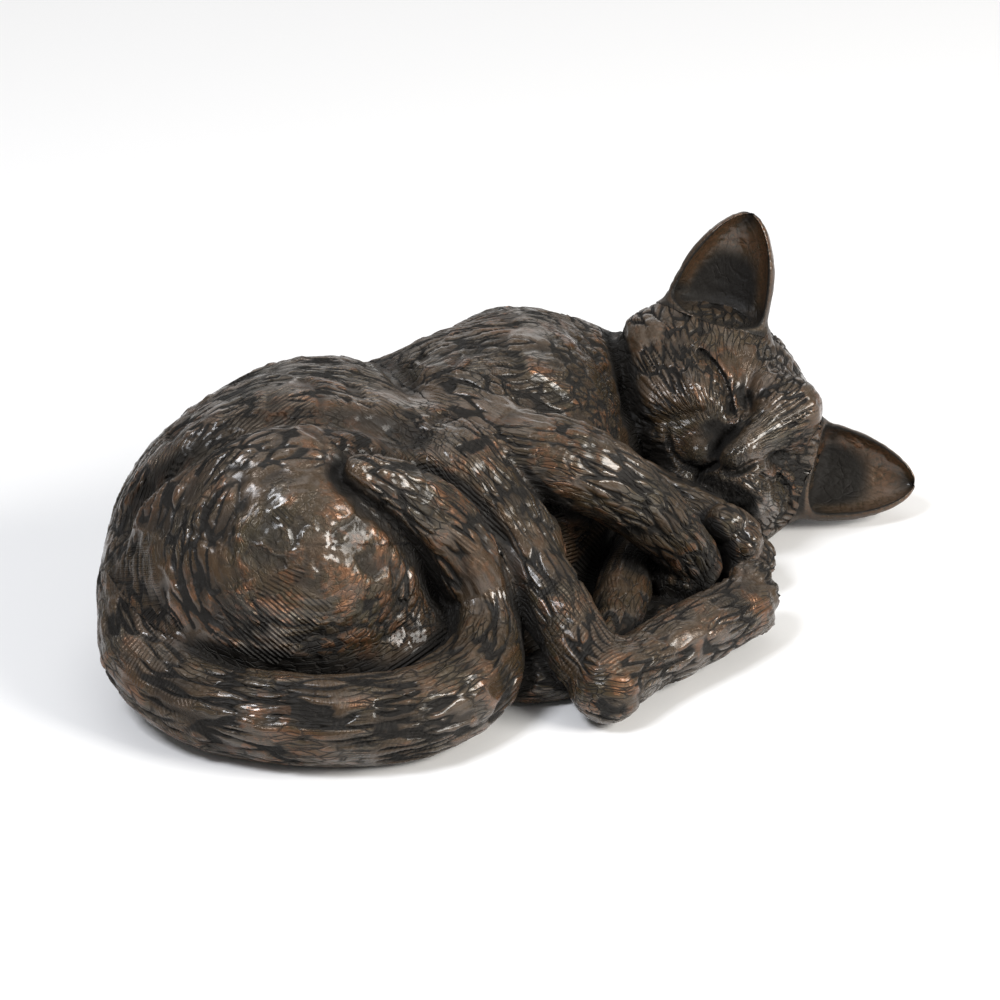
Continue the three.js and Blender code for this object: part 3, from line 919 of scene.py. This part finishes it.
def castPiece(name, node, rules):
    verts, faces = largestPart(*netSurface(name, rough[rules["cell"]]))
    mesh = meshFrom(name, verts, faces)
    for key, value in surfaceLayers(name, mesh, verts.astype(np.float32), rules).items():
        kind, slot = ("FLOAT_VECTOR", "vector") if value.ndim == 2 else ("FLOAT", "value")
        layer = mesh.attributes.new(key, kind, "POINT")
        layer.data.foreach_set(slot, value.astype(np.float32).ravel())
    piece = bpy.data.objects.new(name, mesh)
    bpy.context.scene.collection.objects.link(piece)
    modifier = piece.modifiers.new("toolMarks", "NODES")
    modifier.node_group = marks
    for label, value in {**toolMarks, **rules["marks"]}.items():
        modifier[identifiers[label]] = value
    modifier[identifiers["Finish"]] = bronze
    done = bpy.data.meshes.new_from_object(piece.evaluated_get(bpy.context.evaluated_depsgraph_get()))
    piece.modifiers.remove(modifier)
    piece.data = done
    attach(piece, "root")
    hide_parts(node)
    print("cast", name, len(done.polygons), "faces")


for name, (node, rules) in castings.items():
    castPiece(name, node, rules)

for node, finish in (("base_plate", rawCasting()), ("felt_pad", felt())):
    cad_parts[node].data.materials.clear()
    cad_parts[node].data.materials.append(finish)
print("base plate and felt finished")


studio = {
    "floorSize": 4.0,         # m
    "floorDrop": 0.0002,      # m, keeps the floor off the felt
    "floorColour": (0.84, 0.84, 0.84, 1),
    "sky": (1.0, 1.0, 1.0, 1),
    "skyStrength": 0.27,
    "tilt": 25,               # degrees, how far the camera looks down
    "distance": 1210,         # mm
    "aim": (-1.45, 16.4, 35.3),
    "lens": 150,
}
# name: place and target in m, size in m, power in W, colour
softboxes = {
    "overhead": ((0, 0.3, 2.2), (0, 0, 0), (1.6, 1.6), 8.2, (1, 1, 1)),
    "rightBox": ((1.0, -0.5, 0.68), (0, 0, 0.04), (0.7, 0.45), 20, (1.0, 0.97, 0.92)),
    "leftBox": ((-0.55, -0.6, 1.15), (0, 0, 0.04), (0.4, 0.4), 13, (0.93, 0.95, 1.0)),
    "backPanel": ((0, 1.7, 0.9), (0, 0, 0.04), (2.2, 0.8), 7.5, (1, 1, 1)),
}


def studioFloor():
    half = studio["floorSize"] / 2
    mesh = bpy.data.meshes.new("studioFloor")
    outline = [(-half, -half, 0), (half, -half, 0), (half, half, 0), (-half, half, 0)]
    mesh.from_pydata(outline, [], [(0, 1, 2, 3)])
    material, tree, shader = newMaterial("paleFloor")
    shader.inputs["Base Color"].default_value = studio["floorColour"]
    shader.inputs["Roughness"].default_value = 0.9
    mesh.materials.append(material)
    floor = bpy.data.objects.new("studioFloor", mesh)
    floor.location.z = -studio["floorDrop"]
    bpy.context.scene.collection.objects.link(floor)


def softbox(name, place, aim, size, power, colour):
    light = bpy.data.lights.new(name, "AREA")
    light.shape = "RECTANGLE"
    light.size, light.size_y = size
    light.energy = power
    light.color = colour
    lamp = bpy.data.objects.new(name, light)
    lamp.location = place
    lamp.rotation_euler = (Vector(aim) - Vector(place)).to_track_quat("-Z", "Y").to_euler()
    bpy.context.scene.collection.objects.link(lamp)


def studioLight():
    world = bpy.data.worlds.new("studio")
    world.use_nodes = True
    world.node_tree.nodes["Background"].inputs["Color"].default_value = studio["sky"]
    world.node_tree.nodes["Background"].inputs["Strength"].default_value = studio["skyStrength"]
    bpy.context.scene.world = world
    for name, settings in softboxes.items():
        softbox(name, *settings)


def studioCamera():
    tilt = math.radians(studio["tilt"])
    aim = Vector(studio["aim"]) * mm
    camera = bpy.data.cameras.new("camera")
    camera.lens = studio["lens"]
    camera.sensor_width = 36
    camera.clip_start = 0.05
    viewer = bpy.data.objects.new("camera", camera)
    viewer.location = aim + Vector((0, -math.cos(tilt), math.sin(tilt))) * studio["distance"] * mm
    viewer.rotation_euler = (math.pi / 2 - tilt, 0, 0)
    bpy.context.scene.collection.objects.link(viewer)
    bpy.context.scene.camera = viewer


studioFloor()
studioLight()
studioCamera()
bpy.context.scene.view_settings.view_transform = "Standard"
print("studio ready")
